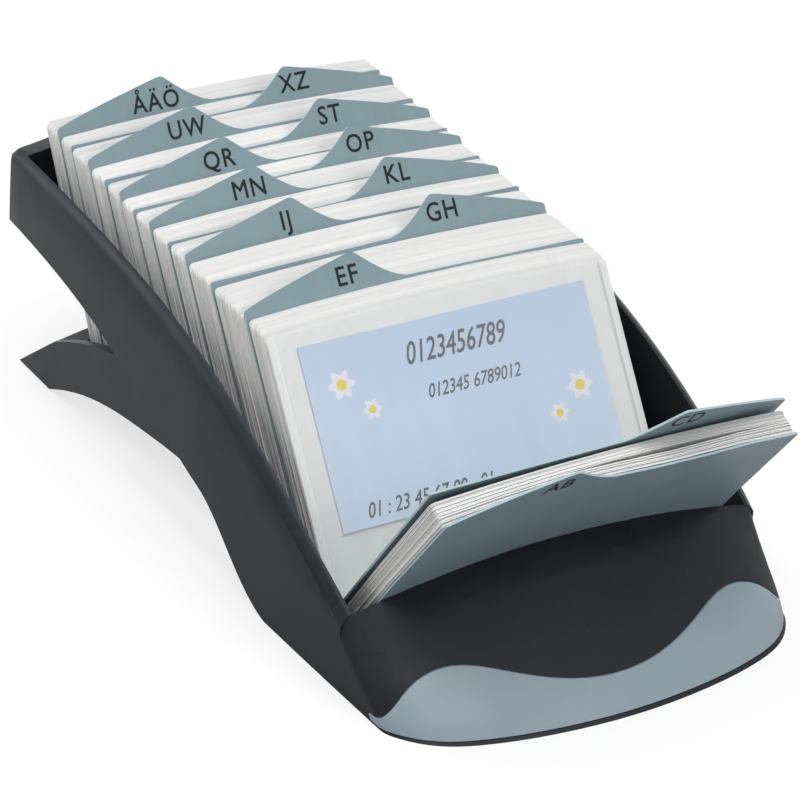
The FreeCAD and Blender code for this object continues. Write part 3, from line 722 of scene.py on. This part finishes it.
def divider(name):
    """One index divider as a thin sheet."""
    place, bend = divider_stand(name)
    shape = bmesh.new()
    shape.from_mesh(left_blank if name in LEFT_TABS else right_blank)
    for vert in shape.verts:
        vert.co = place @ (vert.co + bend(vert.co))
    sheet = finished_object("divider_sheet_" + name, shape)
    sheet.data.materials.append(divider_finish)
    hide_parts("divider_" + name)
    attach(sheet, "divider_" + name)


def sleeve():
    """The sleeve that shows the card: a milky back film and a clear front film, welded at the rim."""
    start = rear_place("cd")
    for name, depth, finish in (("sleeve_back", SLEEVE_DEPTH - SLEEVE_FILM, film_finish),
                                ("sleeve_front", 0.0, clear_finish)):
        shape = bmesh.new()
        shape.from_mesh(film_blank)
        tone_layer = shape.faces.layers.float["tone"]
        for face in shape.faces:
            face[tone_layer] = SLEEVE_TONE
        for vert in shape.verts:
            thin = vert.co.y * SLEEVE_FILM / FILM
            vert.co = start @ Vector((vert.co.x, thin + depth, vert.co.z))
        film = finished_object(name, shape)
        film.data.materials.append(finish)
        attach(film, "pack_cd")
        if name == "sleeve_front":
            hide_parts("display_pocket")


# Print


def lettering(name, text, height, spot, stand, finish, shear=0.0, squeeze=1.0, weight=0.0, spacing=1.0):
    """Flat printed text on a leaf: its middle foot at the spot, facing forwards, bent as the leaf is."""
    data = bpy.data.curves.new(name, "FONT")
    data.body = text
    data.size = height / CAP_SHARE
    data.align_x = "CENTER"
    data.shear = shear
    data.bevel_depth = weight
    data.space_character = spacing
    data.resolution_u = 3
    typed = bpy.data.objects.new(name + "_typed", data)
    bpy.context.collection.objects.link(typed)
    bpy.context.view_layer.update()
    graph = bpy.context.evaluated_depsgraph_get()
    mesh = bpy.data.meshes.new_from_object(typed.evaluated_get(graph))
    bpy.data.objects.remove(typed)
    mesh.name = name
    upright = Matrix.Rotation(math.radians(90), 4, "X") @ Matrix.Diagonal((squeeze, 1, INK_FLATTENED, 1))
    place, bend = stand
    for vert in mesh.vertices:
        printed = spot + (upright @ vert.co)
        vert.co = place @ (printed + bend(printed))
    mesh.materials.clear()
    mesh.materials.append(finish)
    made = bpy.data.objects.new(name, mesh)
    bpy.context.collection.objects.link(made)
    return made


def tab_label(name):
    """Index letters on a divider's tab."""
    x, height = LEFT_LABEL if name in LEFT_TABS else RIGHT_LABEL
    spot = Vector((x, -INK_LIFT, height - (ACCENT_DROP if name == "yz" else 0)))
    label = lettering("label_" + name, LABELS[name], LETTER_HEIGHT, spot, divider_stand(name), index_ink,
                      squeeze=LETTER_SQUEEZE, weight=LETTER_WEIGHT, spacing=LETTER_SPACING)
    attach(label, "divider_" + name)


def star(name, x, down, radius):
    """Six-point star with a round middle, printed on the card; down is measured from the card's top."""
    place = rear_place("cd") @ Matrix.Translation((x, CARD_FRONT - INK_LIFT, CARD_TOP - down))
    place = place @ Matrix.Rotation(math.radians(90), 4, "X")
    rays = bmesh.new()
    bmesh.ops.create_circle(rays, cap_ends=True, segments=24, radius=radius)
    for vert in rays.verts:
        turn = math.atan2(vert.co.y, vert.co.x)
        vert.co *= 1 - STAR_WAVE + STAR_WAVE * math.cos(STAR_RAYS * turn)
    middle = bmesh.new()
    bmesh.ops.create_circle(middle, cap_ends=True, segments=20, radius=radius * STAR_MIDDLE)
    bmesh.ops.translate(middle, vec=(0, 0, INK_LIFT), verts=middle.verts)
    for part, shape, finish in (("rays", rays, white_ink), ("middle", middle, yellow_ink)):
        bmesh.ops.transform(shape, matrix=place, verts=shape.verts)
        made = finished_object("%s_%s" % (name, part), shape)
        made.data.materials.append(finish)
        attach(made, "card")


def card_print():
    """Rows of plain figures where a business card has its lines, and four stars."""
    stand = (rear_place("cd"), straight)
    rows = [
        ("heading", "0123456789", 5.8 * MM, 1.0 * MM, 11.0 * MM, 0.72, 0.09 * MM),
        ("second_line", "012345 6789012", 3.6 * MM, 4.0 * MM, 20.8 * MM, 0.80, 0.05 * MM),
        ("foot_line", "01 : 23 45 67 89   01", 3.9 * MM, -16.6 * MM, 47.2 * MM, 0.80, 0.05 * MM),
    ]
    for name, text, height, x, down, squeeze, weight in rows:
        spot = Vector((x, CARD_FRONT - INK_LIFT, CARD_TOP - down))
        line = lettering("card_" + name, text, height, spot, stand, card_ink, shear=CARD_SLANT,
                         squeeze=squeeze, weight=weight)
        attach(line, "card")
    star("star_1", -34 * MM, 12 * MM, 4.2 * MM)
    star("star_2", -27 * MM, 20 * MM, 3.0 * MM)
    star("star_3", 35 * MM, 27 * MM, 4.2 * MM)
    star("star_4", 27 * MM, 33 * MM, 3.0 * MM)


# Tray


def eased(value, low, high):
    """0 below low, 1 above high, smooth between."""
    share = min(1.0, max(0.0, (value - low) / (high - low)))
    return share * share * (3 - 2 * share)


def softened_moulding(node, name, smooth_angle, edge_round=None, reshape=None):
    """A packed moulding with its triangles merged, its curves smooth and, if asked, its edges rounded."""
    shape = bmesh.new()
    shape.from_mesh(frame["nodes"][node].data)
    bmesh.ops.remove_doubles(shape, verts=shape.verts, dist=MERGE_DISTANCE)
    if reshape:
        reshape(shape)
    for face in shape.faces:
        face.smooth = True
    for edge in shape.edges:
        at_nose = edge.verts[0].co.y < NOSE_FROM_Y
        limit = math.radians(NOSE_ANGLE if at_nose else smooth_angle)
        edge.smooth = edge.calc_face_angle(math.pi) < limit
    made = finished_object(name, shape)
    if edge_round:
        bevel = made.modifiers.new("edge_round", "BEVEL")
        bevel.width = edge_round
        bevel.segments = 2
        bevel.limit_method = "ANGLE"
        bevel.angle_limit = math.radians(smooth_angle)
    weighted = made.modifiers.new("flat_faces_flat", "WEIGHTED_NORMAL")
    weighted.keep_sharp = True
    weighted.mode = "FACE_AREA_WITH_ANGLE"
    made.data.materials.append(CAD_FINISHES[node])
    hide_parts(node)
    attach(made, "tray")


def thin_lip(shape):
    """Brings the trim down to a thinner black lip under it, on the trim and on the cradle alike."""
    for vert in shape.verts:
        if vert.co.y < LIP_FROM_Y and vert.co.z < LIP_TO_Z:
            if vert.co.z < LIP_HEIGHT:
                vert.co.z *= LIP_SHARE
            else:
                rise = (vert.co.z - LIP_HEIGHT) / (LIP_TO_Z - LIP_HEIGHT)
                vert.co.z = LIP_HEIGHT * LIP_SHARE + rise * (LIP_TO_Z - LIP_HEIGHT * LIP_SHARE)
    shape.normal_update()


def crown_apron(shape):
    """Raises the middle of the apron's rear edge, as the real apron is more crowned, and thins the lip."""
    cuts = [((step * APRON_CUT_X, 0, 0), (1, 0, 0)) for step in range(-APRON_CUTS_X, APRON_CUTS_X + 1)]
    cuts += [((0, APRON_BACK_Y - step * APRON_CUT_Y, 0), (0, 1, 0)) for step in range(APRON_CUTS_Y)]
    for place, across in cuts:
        faces = []
        for face in shape.faces:
            middle = face.calc_center_median()
            on_apron = middle.y < APRON_BACK_Y + 2 * MM and middle.z > APRON_LOW_Z
            if on_apron and abs(face.normal.z) > APRON_FACING_Z:
                faces.append(face)
        edges = list({edge for face in faces for edge in face.edges})
        verts = list({vert for face in faces for vert in face.verts})
        bmesh.ops.bisect_plane(shape, geom=verts + edges + faces, plane_co=place, plane_no=across)
    for vert in shape.verts:
        across = max(0.0, 1 - (vert.co.x / APRON_HALF_WIDTH) ** 2)
        along = eased(vert.co.y, *APRON_RISE_Y) * eased(vert.co.z, *APRON_RISE_Z)
        if vert.co.y < APRON_BACK_Y:
            vert.co.z += APRON_RISE * across * along
    thin_lip(shape)


grain_effect = moulded_grain()
dust_effect = settled_dust()
streak_effect = drawn_streaks()

tray_plastic = moulded_plastic("tray_plastic", (0.0100, 0.0110, 0.0135), (0.0135, 0.0148, 0.0180),
                               roughness=0.42, grain_scale=1500.0, grain_depth=0.020 * MM, dust=0.015)
tray_shader = tray_plastic.node_tree.nodes["Principled BSDF"]
tray_shader.inputs["Specular IOR Level"].default_value = 0.20
tray_shader.inputs["Specular Tint"].default_value = (0.90, 0.97, 1.0, 1)
trim_plastic = moulded_plastic("trim_plastic", (0.255, 0.330, 0.380), (0.275, 0.350, 0.400),
                               roughness=0.38, grain_scale=2200.0, grain_depth=0.008 * MM, dust=0.10)
foot_rubber = moulded_plastic("foot_rubber", (0.020, 0.020, 0.020), (0.034, 0.033, 0.032),
                              roughness=0.72, grain_scale=1200.0, grain_depth=0.030 * MM, dust=0.35)
divider_finish = divider_sheet()
film_finish = pocket_film()
clear_finish = clear_film()
card_finish = card_stock()
rail_steel = drawn_steel("rail_steel", (0.62, 0.62, 0.63), roughness=0.28)
screw_steel = drawn_steel("screw_steel", (0.52, 0.53, 0.56), roughness=0.38)
index_ink = ink("index_ink", (0.006, 0.010, 0.012), (0.016, 0.022, 0.026))
card_ink = ink("card_ink", (0.018, 0.026, 0.040), (0.034, 0.046, 0.064))
white_ink = ink("white_ink", (0.80, 0.79, 0.88), (0.86, 0.85, 0.92))
yellow_ink = ink("yellow_ink", (0.78, 0.60, 0.01), (0.84, 0.66, 0.02))

set_camera()
set_lights()
set_floor()

CAD_FINISHES = {
    "cradle": tray_plastic,
    "base": tray_plastic,
    "front_trim": trim_plastic,
    "feet": foot_rubber,
    "rail_left": rail_steel,
    "rail_right": rail_steel,
    "base_screws": screw_steel,
    "business_card": card_finish,
    "display_pocket": clear_finish,
}
for name, node in frame["nodes"].items():
    finish = CAD_FINISHES.get(name)
    if finish is None:
        finish = divider_finish if name.startswith("divider") else film_finish
    node.data.materials.clear()
    node.data.materials.append(finish)

first_foot = rear_place("cd").translation
rail_direction = (rear_place("yz").translation - first_foot).normalized()
film_blank = leaf_blank("film_blank", crowned, FILM_CUTS, FILM, LEAF_CORNER)
tab_cuts = [x * MM for x in TAB_CUTS_MM]
mirrored_cuts = [-x for x in tab_cuts]
right_blank = leaf_blank("right_tab_blank", tabbed, tab_cuts, DIVIDER_SHEET, DIVIDER_CORNER)
left_blank = leaf_blank("left_tab_blank", tabbed, mirrored_cuts, DIVIDER_SHEET, DIVIDER_CORNER, side=-1)
softened_moulding("cradle", "cradle_moulding", CRADLE_ANGLE, reshape=crown_apron)
softened_moulding("base", "base_moulding", MOULDING_ANGLE, BASE_EDGE_ROUND)
softened_moulding("front_trim", "trim_moulding", MOULDING_ANGLE, reshape=thin_lip)
for name in POCKETS:
    if name != "ab":
        rear_pack(name)
group_pack()
sleeve()
for name in LABELS:
    divider(name)
    tab_label(name)
card_print()
